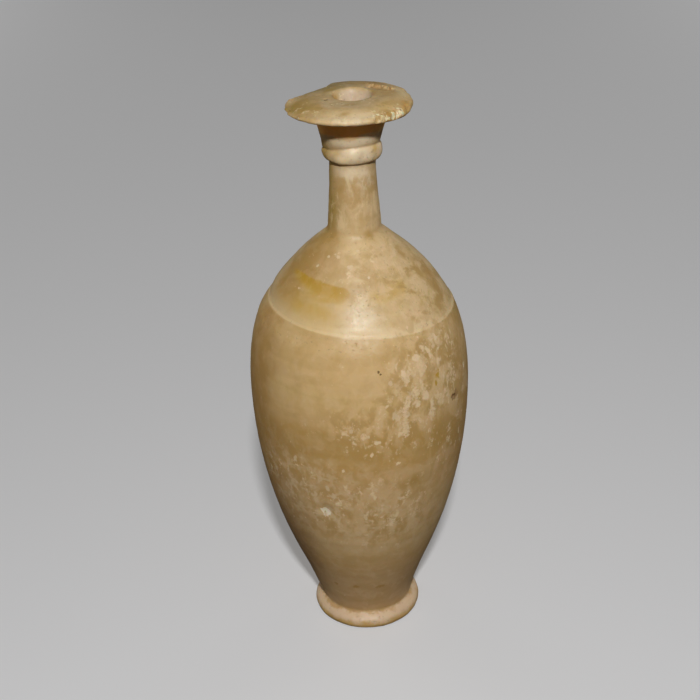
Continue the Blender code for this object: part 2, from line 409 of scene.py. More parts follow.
# Small marks on the lip: azimuth in degrees, distance from the middle, half width, colour.
LIP_TOP = 0.1985
LIP_TOP_DEPTH = 0.0035
GRAIN_SEED = 12
GRAIN_COUNT = 27
LIP_MARKS = [
    (-152, 0.0088, 0.0009, UMBER),
    (-53, 0.0190, 0.0010, CLAY),
    (50, 0.0112, 0.0008, BARK),
    (37, 0.0127, 0.0008, BARK),
    (26, 0.0143, 0.0007, BARK),
    (1, 0.0071, 0.0008, BARK),
    (-113, 0.0065, 0.0006, BARK),
    (-120, 0.0120, 0.0005, BARK),
    (-63, 0.0184, 0.0007, CRYSTAL),
    (-56, 0.0194, 0.0005, CRYSTAL),
    (-53, 0.0200, 0.0006, CRYSTAL),
    (-48, 0.0192, 0.0006, CRYSTAL),
    (-44, 0.0200, 0.0005, CRYSTAL),
    (-37, 0.0198, 0.0005, CRYSTAL),
]

# The largest chip in the body: azimuth and height.
BODY_CHIP = (radians(-112), 0.0618)

# Small marks on the body: azimuth in degrees, height, (half width, half height) and colour.
MARKS = [
    (-113, 0.0626, (0.0014, 0.0015), CHALK),
    (-111, 0.0622, (0.0014, 0.0016), CHALK),
    (-112, 0.0608, (0.0014, 0.0015), CHALK),
    (-80, 0.1182, (0.0005, 0.0006), UMBER),
    (-79, 0.1175, (0.0004, 0.0004), UMBER),
    (-46, 0.1116, (0.0010, 0.0022), OCHRE),
    (-48, 0.1096, (0.0008, 0.0012), OCHRE),
    (-34, 0.1008, (0.0028, 0.0018), BARK),
    (-34, 0.1010, (0.0012, 0.0008), UMBER),
    (-20, 0.1072, (0.0005, 0.0013), CHALK),
    (-99, 0.0212, (0.0018, 0.0011), CLAY),
    (-76, 0.0208, (0.0018, 0.0011), CLAY),
    (-120, 0.0208, (0.0009, 0.0010), CLAY),
    (-96, 0.1472, (0.0013, 0.0010), BUFF),
    (-113, 0.1496, (0.0009, 0.0005), BUFF),
    (-118, 0.1500, (0.0006, 0.0005), BUFF),
    (-126, 0.1492, (0.0006, 0.0005), BUFF),
    (-135, 0.1464, (0.0004, 0.0014), BUFF),
    (-142, 0.1396, (0.0007, 0.0006), BUFF),
    (-87, 0.1512, (0.0007, 0.0005), BUFF),
    (-78, 0.1444, (0.0006, 0.0010), BUFF),
    (-67, 0.1164, (0.0010, 0.0020), FLECK),
    (-50, 0.1210, (0.0014, 0.0028), FLECK),
    (-58, 0.1204, (0.0014, 0.0014), FLECK),
    (-42, 0.1236, (0.0010, 0.0014), FLECK),
    (-74, 0.1140, (0.0010, 0.0011), CURD),
    (-64, 0.1088, (0.0010, 0.0014), CURD),
    (-55, 0.1064, (0.0013, 0.0022), FLECK),
    (-51, 0.1024, (0.0010, 0.0018), FLECK),
    (-60, 0.1040, (0.0010, 0.0008), FLECK),
    (-73, 0.1020, (0.0009, 0.0013), CURD),
    (-95, 0.0976, (0.0009, 0.0010), CURD),
    (-82, 0.0928, (0.0011, 0.0008), FLECK),
    (-85, 0.0880, (0.0007, 0.0009), FLECK),
    (-71, 0.0832, (0.0012, 0.0007), FLECK),
    (-100, 0.0816, (0.0006, 0.0008), FLECK),
    (-127, 0.0828, (0.0010, 0.0013), CURD),
    (-109, 0.0732, (0.0009, 0.0015), CURD),
    (-106, 0.0700, (0.0009, 0.0020), CURD),
    (-117, 0.0696, (0.0009, 0.0018), CURD),
    (-70, 0.0676, (0.0011, 0.0008), CURD),
]


def curve(stations, height):
    """Radius of a smooth outline through the stations, at a height."""
    lower, upper = stations[0], stations[1]
    for pair in zip(stations, stations[1:]):
        if pair[0][0] <= height:
            lower, upper = pair
    span = upper[0] - lower[0]
    t = (height - lower[0]) / span
    start = (2 * t**3 - 3 * t**2 + 1) * lower[1] + (t**3 - 2 * t**2 + t) * span * lower[2]
    end = (3 * t**2 - 2 * t**3) * upper[1] + (t**3 - t**2) * span * upper[2]
    return start + end


def curve_rows(stations, steps, start=None, end=None):
    """(radius, height) rows at even heights along the stations' curve, without the last."""
    low = stations[0][0] if start is None else start
    high = stations[-1][0] if end is None else end
    heights = [low + (high - low) * i / steps for i in range(steps)]
    return [(curve(stations, z), z) for z in heights]


def line_rows(first, last, steps):
    """(radius, height) rows evenly along a straight line, without the last."""
    shares = [i / steps for i in range(steps)]
    return [tuple(a + (b - a) * share for a, b in zip(first, last)) for share in shares]


def arc_rows(centre, radii, first, last, steps):
    """(radius, height) rows along an elliptical arc, angles in degrees above the horizontal."""
    angles = [radians(first + (last - first) * i / steps) for i in range(steps + 1)]
    return [(centre[0] + radii[0] * cos(a), centre[1] + radii[1] * sin(a)) for a in angles]


def smooth_step(value, low, high):
    """0 below low, 1 above high, and a smooth rise between."""
    t = np.clip((value - low) / (high - low), 0.0, 1.0)
    return t * t * (3 - 2 * t)


def foot_rows():
    """The underside, the round edge of the foot and its sloping top."""
    edge_width = FOOT_RADIUS - UNDERSIDE_RADIUS
    under = line_rows((UNDERSIDE_FAN_RADIUS, 0.0), (UNDERSIDE_RADIUS, 0.0), 4)
    edge = arc_rows((UNDERSIDE_RADIUS, FOOT_EDGE_HEIGHT), (edge_width, FOOT_EDGE_HEIGHT), -90, 0, 8)
    brow = FOOT_BROW[::-1]
    top = FOOT_TOP[::-1]
    slope = line_rows(edge[-1], brow, 2) + line_rows(brow, top, 2)
    return under + edge[:-1] + slope + line_rows(top, BODY_FOOT[1::-1], 3)


def line_height(azimuth):
    """Height of the aslant line where the shoulder meets the body."""
    return LINE_HEIGHT - LINE_FALL_TO_RIGHT * np.cos(azimuth)


def belly_rows(azimuth):
    """The belly up to the outer edge of the ledge under the shoulder line."""
    edge = float(line_height(azimuth)) - LEDGE_DROP
    edge_radius = LINE_RADIUS + SHOULDER_OFFSET_X * cos(azimuth) + LEDGE_WIDTH
    lean_in = curve(BELLY, edge) - edge_radius
    rows = curve_rows(BELLY, 108, end=edge - LEAN_IN_HEIGHT)
    rows += curve_rows(BELLY, 10, start=edge - LEAN_IN_HEIGHT, end=edge)
    rows += [(curve(BELLY, edge), edge)]
    climbs = [max(0.0, 1 - (edge - z) / LEAN_IN_HEIGHT) for _, z in rows]
    return [(r - lean_in * climb**2, z) for (r, z), climb in zip(rows, climbs)]


def shoulder_rows(azimuth):
    """The shoulder from its line up, shifted to the right by an offset that fades upwards."""
    line = float(line_height(azimuth))
    slope = SHOULDER_SLOPE + SHOULDER_SLOPE_TO_RIGHT * cos(azimuth)
    rows = []
    for radius, height in curve_rows([(line, LINE_RADIUS, slope), SHOULDER_TOP], 40):
        climb = (height - line) / (SHOULDER_TOP[0] - line)
        shift = SHOULDER_OFFSET_X * (1 - smooth_step(climb, *SHOULDER_OFFSET_FADE))
        rows.append((radius + shift * cos(azimuth), height))
    return rows


def neck_rows():
    """The fillet at the neck's foot and the neck."""
    return curve_rows([SHOULDER_TOP, NECK_FOOT], 6) + curve_rows([NECK_FOOT, NECK_TOP], 28)


def collar_top(azimuth):
    """Height of the groove over the collar, which stands tallest at the front."""
    front = np.maximum(0.0, -np.sin(azimuth))
    rise = COLLAR_RISE_TO_FRONT * front**2 + COLLAR_RISE_TO_RIGHT * np.cos(azimuth)
    return NECK_TOP[0] + COLLAR_HEIGHT + rise


def collar_rows(azimuth):
    """The collar, a round ring, then the groove and the cone above it."""
    top = float(collar_top(azimuth))
    half = (top - NECK_TOP[0]) / 2
    bulge = COLLAR_RADIUS - NECK_TOP[1]
    ring = arc_rows((0, NECK_TOP[0] + half), (1, half), -85, 55, 14)
    ring = [(NECK_TOP[1] + bulge * out**COLLAR_FULLNESS, z) for out, z in ring]
    cone_foot = (CONE_FOOT_RADIUS, top + CONE_FOOT_RISE)
    bottom = (GROOVE_RADIUS, top)
    groove = line_rows(ring[-1], bottom, 2) + line_rows(bottom, cone_foot, 2)
    return ring[:-1] + groove + line_rows(cone_foot, CONE_TOP[::-1], 11)


def scar(azimuth, radius):
    """Depth of the flake scar: it deepens from the mouth to a steep scalloped scarp."""
    out = radius * cos(azimuth - SCAR_AZIMUTH)
    along = radius * sin(azimuth - SCAR_AZIMUTH)
    bend = along * SCALLOP_RATE + SCALLOP_SWAY[0] * sin(along * SCALLOP_SWAY[1])
    teeth = SCALLOP_TEETH[0] * sin(along * SCALLOP_TEETH[1])
    edge = SCAR_DISTANCE + SCALLOP_DEPTH * abs(sin(bend)) + teeth
    rim = 1 - smooth_step(out - edge, *SCARP)
    sides = smooth_step(along, SCAR_SIDES[0], SCAR_SIDES[0] + SCAR_SIDE_FADE)
    sides *= 1 - smooth_step(along, SCAR_SIDES[1] - SCAR_SIDE_FADE, SCAR_SIDES[1])
    return SCAR_DEPTH * sides * rim * smooth_step(out, *SCAR_SLOPE)


def lip_reach(azimuth):
    """How far the lip reaches out: a piece has broken from its edge at the back left."""
    chord = BREAK_DISTANCE / max(cos(azimuth - BREAK_AZIMUTH), 0.3)
    chord += sum(size * sin(azimuth * rate) for size, rate in BREAK_WAVES)
    lost = max(0.0, LIP_RADIUS - chord) * smooth_step(azimuth, *BREAK_STEP)
    return LIP_RADIUS - lost


def lip_rows(azimuth):
    """The lip's underside, its thin edge and its low dome, up to the mouth."""
    off = (azimuth - LIP_DROOP_AZIMUTH) / LIP_DROOP_WIDTH
    low_edge = LIP_UNDERSIDE_EDGE[0] - LIP_DROOP * exp(-(off**2))
    under = line_rows(CONE_TOP[::-1], (LIP_UNDERSIDE_EDGE[1], low_edge), 7)
    tip = ((azimuth - WORN_TIP_AZIMUTH + pi) % (2 * pi) - pi) / WORN_TIP_WIDTH
    worn_tip = WORN_TIP_SINK * exp(-(tip**2))
    thick = (LIP_SHOULDER[0] - worn_tip - low_edge) / 2
    rim_middle = (LIP_SHOULDER[1], low_edge + thick)
    rim = arc_rows(rim_middle, (LIP_RADIUS - LIP_SHOULDER[1], thick), -80, 80, 9)
    dome = []
    outer, inner = LIP_SHOULDER[1] - LIP_DOME_INSET, MOUTH_RADIUS + LIP_DOME_INSET
    for radius in np.linspace(outer, inner, 32):
        share = (radius - MOUTH_RADIUS) / (LIP_SHOULDER[1] - MOUTH_RADIUS)
        fall = (HEIGHT - LIP_SHOULDER[0]) * share**LIP_DOME_POWER
        fall += worn_tip * smooth_step(radius, *WORN_TIP_REACH)
        dome.append((radius, HEIGHT - fall))
    rise = LIP_RISE_TO_RIGHT * cos(azimuth) + LIP_RISE_TO_BACK * max(sin(azimuth), 0)
    rise /= LIP_RADIUS
    kept = (lip_reach(azimuth) - BREAK_ROOT) / (LIP_RADIUS - BREAK_ROOT)
    rows = []
    for radius, height in under + rim + dome:
        on_top = smooth_step(height, LIP_SHOULDER[0] - LIP_TOP_BLEND, LIP_SHOULDER[0])
        sink = BREAK_SINK * (1 - kept) * smooth_step(radius, *BREAK_SINK_REACH)
        sink += scar(azimuth, radius)
        reach = BREAK_ROOT + (radius - BREAK_ROOT) * kept if radius > BREAK_ROOT else radius
        rows.append((reach, height + rise * radius - sink * on_top))
    return rows


def inside_rows():
    """The mouth's rounded edge, the funnel, the bore and the cavity, from top to bottom."""
    mouth = [(MOUTH_RADIUS - inwards, HEIGHT - down) for inwards, down in MOUTH_ROUNDING]
    funnel = line_rows(mouth.pop(), (BORE_RADIUS, BORE_TOP), 6)
    bore = line_rows((BORE_RADIUS, BORE_TOP), (BORE_RADIUS, CAVITY_TOP[0]), 6)
    roof = curve_rows([CAVITY_SHOULDER, CAVITY_TOP], 4)
    belly = curve_rows([CAVITY_LOWER, CAVITY_WIDEST, CAVITY_SHOULDER], 8)
    depth = CAVITY_LOWER[0] - CAVITY_FLOOR
    floor = arc_rows((0, CAVITY_LOWER[0]), (CAVITY_LOWER[1], depth), -30, -75, 2)
    rising = floor[::-1] + belly + roof + [(BORE_RADIUS, CAVITY_TOP[0])]
    return mouth + funnel + bore + rising[::-1]


def axis_x(radius, height):
    """How far the foot, the lip's disc and the mouth stand to the right of the bottle's axis."""
    foot = FOOT_OFFSET_X * (1 - smooth_step(height, *FOOT_OFFSET_FADE))
    lip = LIP_OFFSET_X * smooth_step(height, *LIP_OFFSET_RISE)
    mouth = MOUTH_OFFSET_X * smooth_step(height, *MOUTH_OFFSET_RISE)
    lip *= smooth_step(radius, *LIP_OFFSET_REACH)
    return foot + lip + mouth * (1 - smooth_step(radius, *MOUTH_OFFSET_REACH))


def skin():
    """The bottle's whole skin as an array of points, rows by columns by x, y, z."""
    columns = []
    for i in range(COLUMNS):
        azimuth = 2 * pi * i / COLUMNS - pi
        rows = foot_rows() + belly_rows(azimuth) + shoulder_rows(azimuth) + neck_rows()
        rows += collar_rows(azimuth) + lip_rows(azimuth) + inside_rows()
        columns.append([(axis_x(r, z) + r * cos(azimuth), r * sin(azimuth), z) for r, z in rows])
    return np.array(columns).transpose(1, 0, 2)


def outward(points):
    """Unit directions out of the stone at each point of the skin."""
    along = np.roll(points, -1, axis=1) - np.roll(points, 1, axis=1)
    up = np.gradient(points, axis=0)
    direction = np.cross(along, up)
    return direction / np.linalg.norm(direction, axis=2, keepdims=True)


def noise(points, size, seed):
    """Smooth seeded noise from -1 to 1, with bumps about as wide as size."""
    table = np.random.default_rng(seed).uniform(-1, 1, (NOISE_CELLS,) * 3)
    grid = points / size
    cell = np.floor(grid).astype(int)
    part = grid - cell
    part = part * part * (3 - 2 * part)
    total = np.zeros(points.shape[:-1])
    for corner in np.ndindex(2, 2, 2):
        weight = np.prod(np.where(corner, part, 1 - part), axis=-1)
        at = (cell + corner) % NOISE_CELLS
        total += weight * table[at[..., 0], at[..., 1], at[..., 2]]
    return total


def bumps(points, layers):
    """The sum of several layers of noise."""
    return sum(size * noise(points, width, seed) for size, width, seed in layers)


def patch(azimuth, height, centre, spread):
    """1 in the middle of a soft patch, falling to 0 outside; (degrees, metres) both."""
    turn = (np.degrees(azimuth) - centre[0] + 180) % 360 - 180
    return np.exp(-((turn / spread[0]) ** 2) - ((height - centre[1]) / spread[1]) ** 2)


def patches(azimuth, height, table):
    """The sum of a table's soft patches."""
    return sum(share * patch(azimuth, height, centre, spread) for centre, spread, share in table)


def belt(height, middle, reach):
    """1 in the middle of a soft belt all round the bottle, falling to 0 above and below."""
    return np.exp(-(((height - middle) / reach) ** 2))


def rough_ground(azimuth, height):
    """Where the polish has weathered off: the shoulder's right, its line, neck, lip and foot."""
    ground = WORN_LEAST + patches(azimuth, height, WORN_PATCHES)
    ground += sum(share * belt(height, middle, reach) for middle, reach, share in WORN_BELTS)
    ground += WORN_ARRIS[1] * belt(height, line_height(azimuth), WORN_ARRIS[0])
    ground += 0.5 * smooth_step(height, *WORN_NECK) + smooth_step(height, *WORN_LIP)
    return np.clip(ground + 1 - smooth_step(height, *WORN_FOOT), 0, 1)


def relief(points, azimuth):
    """How far the stone stands out from the plain outline at each point."""
    height = points[..., 2]
    level = height + points[..., 0] * TURNING_LEAN
    rings = bumps(np.stack([height * 0, height * 0, level], axis=-1), TURNING_RINGS)
    worn = rough_ground(azimuth, height) * bumps(points, WEATHERING)
    foot = 1 - smooth_step(height, *FOOT_WEAR_TOP)
    foot = foot * smooth_step(height, *FOOT_WEAR_BOTTOM) * bumps(points, FOOT_WEAR)
    collar = belt(height, *COLLAR_LUMPS_BELT) * bumps(points, COLLAR_LUMPS)
    return bumps(points, SWELL) + rings + worn + foot + collar


def scoop(points, place, radius, depth, direction):
    """A shallow shell-shaped chip: the points near a place sink against a direction."""
    direction = np.array(direction) / np.linalg.norm(direction)
    away = np.linalg.norm(points - place, axis=-1) / radius
    sink = depth * np.clip(1 - away**2, 0, 1)
    return points - sink[..., None] * direction


def ring_place(azimuth, reach, height, offset_x=0.0):
    """A place on a ring round the bottle."""
    return np.array([offset_x + reach * cos(azimuth), reach * sin(azimuth), height])


def strewn_chips(points, draw, reach, offset_x, chips):
    """Chips of random sizes at random places round a ring, whose reach is a size or a function."""
    count, azimuths, heights, radii, depth, tilt = chips
    for _ in range(count):
        azimuth = draw.uniform(*azimuths)
        height = draw.uniform(*heights) if len(heights) > 1 else heights[0]
        radius = draw.uniform(*radii)
        out = (cos(azimuth), sin(azimuth), tilt)
        away = reach(azimuth) if callable(reach) else reach
        place = ring_place(azimuth, away, height, offset_x)
        points = scoop(points, place, radius, radius * depth, out)
    return points


def chip_edges(points):
    """Chips: round the lip, at its front right, on the collar and foot, and one in the body."""
    draw = np.random.default_rng(CHIP_SEED)
    points = strewn_chips(points, draw, lip_reach, LIP_OFFSET_X, LIP_CHIPS)
    points = strewn_chips(points, draw, lip_reach, LIP_OFFSET_X, CORNER_CHIPS)
    points = strewn_chips(points, draw, COLLAR_RADIUS, 0.0, COLLAR_CHIPS)
    points = strewn_chips(points, draw, FOOT_RADIUS, FOOT_OFFSET_X, FOOT_CHIPS)
    for turn, reach in LIP_PITS:
        place = ring_place(radians(turn), reach, LIP_PIT_LEVEL)
        points = scoop(points, place, *LIP_PIT_SIZE, (0, 0, 1))
    azimuth, level = BODY_CHIP
    place = ring_place(azimuth, body_radius(level), level + BODY_CHIP_RISE)
    return scoop(points, place, *BODY_CHIP_SIZE, (cos(azimuth), sin(azimuth), BODY_CHIP_TILT))


def build_mesh(points):
    """A closed mesh from the skin's points, with a fan over each end."""
    rows, columns = points.shape[:2]
    index = np.arange(rows * columns).reshape(rows, columns)
    beside = np.roll(index, -1, axis=1)
    quads = np.stack([index[:-1], beside[:-1], beside[1:], index[1:]], axis=-1).reshape(-1, 4)
    under, floor = rows * columns, rows * columns + 1
    fans = [(under, b, a) for a, b in zip(index[0], beside[0])]
    fans += [(floor, a, b) for a, b in zip(index[-1], beside[-1])]
    ends = [(FOOT_OFFSET_X, 0, 0), (0, 0, CAVITY_FLOOR)]
    mesh = bpy.data.meshes.new("bottle")
    mesh.from_pydata(points.reshape(-1, 3).tolist() + ends, [], quads.tolist() + fans)
    mesh.shade_smooth()
    return mesh


def paint(mesh, name, values, kind="FLOAT", field="value"):
    """Stores a number or a colour for each point of the mesh, and 0 for the fans' two middles."""
    depth = values.shape[2:]
    values = np.concatenate([values.reshape(-1, *depth), np.zeros((2, *depth))])
    attribute = mesh.attributes.new(name, kind, "POINT")
    attribute.data.foreach_set(field, values.ravel().astype(np.float32))


def fleck_and_glint_ground(azimuth, height):
    """How thickly the pale flecks lie: a dense field at the right, curds low at the left, and a few
    as a painted highlight on the shoulder.
    """
    field = FLECKS_LEAST + patches(azimuth, height, FLECK_AND_GLINT_PATCHES)
    field += LIP_FLECKS * smooth_step(height, *LIP_FLECKS_RISE)
    return np.clip(field * smooth_step(height, *FLECKS_RISE), 0, 1)


def seam_middle(azimuth):
    """Height of the ochre seam's middle: it climbs to the left and dips at the front right."""
    turn = np.degrees(azimuth)
    climb = SEAM_CLIMB[0] * (1 - smooth_step(turn, *SEAM_CLIMB[1]))
    dip = SEAM_DIP[0] * smooth_step(turn, *SEAM_DIP[1]) * (1 - smooth_step(turn, *SEAM_DIP[2]))
    return SEAM_HEIGHT + climb - dip


def seam_ground(azimuth):
    """How wide the ochre seam in the shoulder is: it swells to the front left and ends there."""
    turn = np.degrees(azimuth)
    width = np.zeros(turn.shape)
    for swell, end, strength in SEAM_STRETCHES:
        width += strength * smooth_step(turn, *swell) * (1 - smooth_step(turn, *end))
    return width


def groove_ground(azimuth, height):
    """How much darker the grooves over and under the collar are: most under its right end."""
    over = belt(height, collar_top(azimuth), GROOVE_HALF_WIDTH)
    under = belt(height, NECK_TOP[0], GROOVE_HALF_WIDTH)
    right = 1 + 0.8 * np.clip(np.cos(azimuth + radians(35)), 0, 1)
    return np.clip(0.6 * over + 0.55 * under * right, 0, 1)


def line_veil(azimuth, height):
    """The cream veil just over the shoulder line, from its arris up."""
    over = height - line_height(azimuth)
    return (over > -VEIL_OVERLAP) * belt(over, 0, VEIL_HEIGHT)


def lay(colour, share, other):
    """One colour laid over another, point by point."""
    return colour + share[..., None] * (np.array(other) - colour)


def broad_stains_and_painted_light(points, azimuth, height, on_lip):
    """The two tables of stains, with some painted shade and a painted highlight, laid over each
    other: a colour and its cover at each point.
    """
    turn = azimuth + bumps(points, STAIN_TURN)
    climb = height + bumps(points, STAIN_CLIMB)
    away = np.hypot(points[..., 0] - LIP_OFFSET_X, points[..., 1]) + bumps(points, STAIN_DRIFT)
    colour = np.zeros((*azimuth.shape, 3)) + CREAM
    cover = np.zeros(azimuth.shape)
    for stains, level, where in ((STAINS_AND_PAINTED_LIGHT, climb, 1 - on_lip), (LIP_STAINS, away, on_lip)):
        for middle, reach, strength, hue in stains:
            share = strength * where * patch(turn, level, middle, reach)
            left = np.maximum(cover + share - cover * share, 1e-6)
            colour = lay(colour, np.clip(share / left, 0, 1), hue)
            cover = cover + share - cover * share
    return colour, cover


def stain_and_painted_light(points, azimuth, height):
    """The broad stains with their painted shade and highlight, the pale mouth, the painted shadow
    under the lip and the shoulder's veil.
    """
    on_lip = smooth_step(height, *LIP_GROUND)
    colour, cover = broad_stains_and_painted_light(points, azimuth, height, on_lip)
    near_lip = height > UNDER_LIP
    inwards = np.hypot(points[..., 0] - MOUTH_OFFSET_X, points[..., 1])
    mouth = near_lip * (1 - smooth_step(inwards, *MOUTH_EDGE))
    colour = lay(colour, mouth, SHELL)
    colour = lay(colour, mouth * patch(azimuth, height, *MOUTH_OCHRE), OCHRE)
    cover = np.maximum(cover, mouth)
    climb = height + bumps(points, STAIN_CLIMB)
    # Painted shadow: the lip's cast shadow on the front of the cone, a warm brown with a crisp lower
    # edge, darkest at its right end.
    lip_shadow = 0.95 * smooth_step(climb, *SHADE_EDGE) * (1 - on_lip) * near_lip
    lip_shadow = lip_shadow * smooth_step(-np.sin(azimuth), *SHADE_SIDES)
    colour = lay(colour, lip_shadow * (1 - mouth), LIP_SHADOW_BROWN)
    deep_lip_shadow = 0.7 * lip_shadow * patch(azimuth, height, *DEEP_SHADE)
    colour = lay(colour, deep_lip_shadow, SHADE)
    cover = np.maximum(cover, lip_shadow)
    veil = 0.75 * line_veil(azimuth, height)
    return lay(colour, veil, CREAM), np.maximum(cover, veil)


class Stone:
    """The alabaster's nodes. Any input may be a number, a colour or another node's output."""

    def __init__(self, material):
        self.tree = material.node_tree
        self.place = self.node("ShaderNodeTexCoord", {}).outputs["Object"]
        self.height = self.node("ShaderNodeSeparateXYZ", {0: self.place}).outputs["Z"]
        self.ripple = self.math("SUBTRACT", self.noise(0.0035, 3.0), 0.5)
        self.clouds = self.noise(0.014, 4.0, 0.8)
        self.mist = self.noise(0.0050, 4.0, 0.5, 0.6)
        self.mottle = self.noise(0.0011, 3.0, 0.0, 0.6)

    def node(self, kind, inputs, **settings):
        made = self.tree.nodes.new(kind)
        for name, value in settings.items():
            setattr(made, name, value)
        for name, value in inputs.items():
            self.feed(made.inputs[name], value)
        return made

    def feed(self, socket, value):
        if isinstance(value, bpy.types.NodeSocket):
            self.tree.links.new(value, socket)
        else:
            socket.default_value = value

    def math(self, operation, *values):
        return self.node("ShaderNodeMath", dict(enumerate(values)), operation=operation).outputs[0]

    def times(self, first, second):
        return self.math("MULTIPLY", first, second)

    def vector(self, operation, first, second):
        inputs = {0: first, 1: second}
        return self.node("ShaderNodeVectorMath", inputs, operation=operation).outputs[0]

    def step(self, value, low, high, first=0.0, last=1.0):
        """Goes smoothly from first to last as value goes from low to high."""
        inputs = {"Value": value, "From Min": low, "From Max": high, "To Min": first, "To Max": last}
        return self.node("ShaderNodeMapRange", inputs, interpolation_type="SMOOTHSTEP").outputs[0]

    def noise(self, size, detail=2.0, distortion=0.0, roughness=0.5, squeeze=None, output="Fac"):
        place = self.stretched(self.place, squeeze) if squeeze else self.place
        inputs = {"Vector": place, "Scale": 1 / size, "Detail": detail, "Distortion": distortion}
        return self.node("ShaderNodeTexNoise", {**inputs, "Roughness": roughness}).outputs[output]

    def stretched(self, place, scale):
        return self.node("ShaderNodeMapping", {"Vector": place, "Scale": scale}).outputs[0]

    def stirred(self, grain, reach):
        """The stone's places, moved about at random by up to half the reach."""
        stir = self.noise(grain, output="Color")
        centred = self.vector("SUBTRACT", stir, (0.5, 0.5, 0.5))
        moved = self.node("ShaderNodeVectorMath", {0: centred, "Scale": reach}, operation="SCALE")
        return self.vector("ADD", self.place, moved.outputs[0])

    def mix(self, share, first, second):
        made = self.node("ShaderNodeMix", {0: share}, data_type="RGBA", blend_type="MIX")
        for socket, value in ((made.inputs[6], first), (made.inputs[7], second)):
            self.feed(socket, (*value, 1) if isinstance(value, tuple) else value)
        return made.outputs[2]

    def painted(self, name, output="Fac"):
        return self.node("ShaderNodeAttribute", {}, attribute_name=name).outputs[output]

    def ramp(self, value, stops):
        made = self.node("ShaderNodeValToRGB", {"Fac": value})
        elements = made.color_ramp.elements
        while len(elements) < len(stops):
            elements.new(0.5)
        for element, (position, colour) in zip(elements, stops):
            element.position = position
            element.color = (*colour, 1)
        return made.outputs["Color"]


def strata(stone):
    """The strata, a little bent, with thin bands, clouds and a fine mottle over them."""
    wave = stone.math("SUBTRACT", stone.noise(0.030), 0.5)
    level = stone.math("MULTIPLY_ADD", wave, 0.007, stone.height)
    level = stone.math("MULTIPLY_ADD", stone.ripple, 0.0014, level)
    stops = [(height / HEIGHT, colour) for height, colour in STRATA]
    colour = stone.ramp(stone.math("DIVIDE", level, HEIGHT), stops)
    bands = stone.noise(0.0046, squeeze=(0.12, 0.12, 1.0))
    colour = stone.mix(stone.step(bands, 0.48, 0.70, 0.0, 0.35), colour, HAZE)
    colour = stone.mix(stone.step(bands, 0.32, 0.50, 0.22, 0.0), colour, GOLD)
    colour = stone.mix(stone.step(stone.clouds, 0.48, 0.72, 0.0, 0.25), colour, GOLD)
    colour = stone.mix(stone.step(stone.mist, 0.50, 0.70, 0.0, 0.28), colour, ROSE)
    return stone.mix(stone.step(stone.mist, 0.32, 0.48, 0.22, 0.0), colour, TAN)


def laid_stains_and_painted_light(stone, colour):
    """The painted stains, painted shade and painted highlight, their edges made ragged."""
    cover = stone.math("SUBTRACT", stone.mist, 0.5)
    cover = stone.math("MULTIPLY_ADD", cover, 0.9, stone.painted("cover"))
    cover = stone.times(stone.step(cover, 0.08, 0.85), 0.95)
    return stone.mix(cover, colour, stone.painted("stain_and_painted_light", "Color"))


def seamed(stone, colour):
    """The ochre seam in the shoulder: crisp above, soft below, and yellower below."""
    level = stone.math("MULTIPLY_ADD", stone.ripple, 0.0011, stone.height)
    over = stone.math("SUBTRACT", level, stone.painted("seam_middle"))
    width = stone.painted("seam")
    half = stone.math("MULTIPLY_ADD", width, SEAM_HALF_WIDTH * 0.7, SEAM_HALF_WIDTH * 0.3)
    above = stone.step(stone.math("SUBTRACT", half, over), -0.0001, 0.0006)
    below = stone.step(stone.math("ADD", half, over), -0.0006, 0.0018)
    band = stone.times(stone.times(above, below), stone.step(width, 0.0, 0.35))
    band = stone.times(band, stone.step(stone.clouds, 0.30, 0.65, 0.98, 0.80))
    rise = stone.step(over, -SEAM_HALF_WIDTH, SEAM_HALF_WIDTH * 0.4)
    return stone.mix(band, colour, stone.mix(rise, LEMON, OCHRE))


def wisped(stone, colour):
    """The tan shadows and the pale wisps in the neck."""
    foot = stone.step(stone.height, *WISPS_BEGIN)
    neck = stone.times(foot, stone.step(stone.height, *WISPS_END, 1.0, 0.0))
    wisps = stone.noise(0.0034, 6.0, 0.5, 0.66, (1, 1, 0.45))
    tan = stone.times(neck, stone.step(wisps, 0.40, 0.54, 0.64, 0.0))
    tan = stone.times(tan, stone.step(stone.height, *WISP_SHADOWS_GROW, 0.45, 1.0))
    colour = stone.mix(tan, colour, TAN)
    pale = stone.times(neck, stone.step(wisps, 0.53, 0.62, 0.0, 0.50))
    return stone.mix(pale, colour, CREAM)


def crusted(stone, colour):
    """The weathered crust: pale scabs, and darker ground between them."""
    crust = stone.noise(0.0056, 5.0, 0.4, 0.62)
    share = stone.painted("crust")
    ground = stone.times(share, stone.step(crust, 0.39, 0.49, 0.85, 0.0))
    colour = stone.mix(ground, colour, TAN)
    scabs = stone.times(share, stone.step(crust, 0.50, 0.59))
    return stone.mix(stone.times(scabs, 0.60), colour, ROSE)


def crystal_mask(stone, density, size):
    """Compact ragged crystals a cell apart, more and larger where the density is high."""
    ragged = stone.stretched(stone.stirred(size * 0.45, size * 1.7), (1, 1, 0.5))
    cells = stone.node("ShaderNodeTexVoronoi", {"Vector": ragged, "Scale": 1 / size})
    luck = stone.node("ShaderNodeSeparateColor", {0: cells.outputs["Color"]})
    reach = stone.math("MULTIPLY_ADD", luck.outputs[0], -1.0, density)
    inside = stone.math("SUBTRACT", stone.times(reach, 0.75), cells.outputs["Distance"])
    strength = stone.step(luck.outputs[1], 0.0, 1.0, 0.45, 1.0)
    return stone.times(stone.step(inside, -0.16, 0.18), strength)


def speck_mask(stone, density, size, edges, softness):
    """Ragged pale specks and curds of all sizes, thicker where the density is high."""
    grain = stone.noise(size, 2.0, 0.2, squeeze=(1, 1, 0.65))
    edge = stone.step(density, 0.0, 1.0, *edges)
    return stone.step(stone.math("SUBTRACT", grain, edge), 0.0, softness)


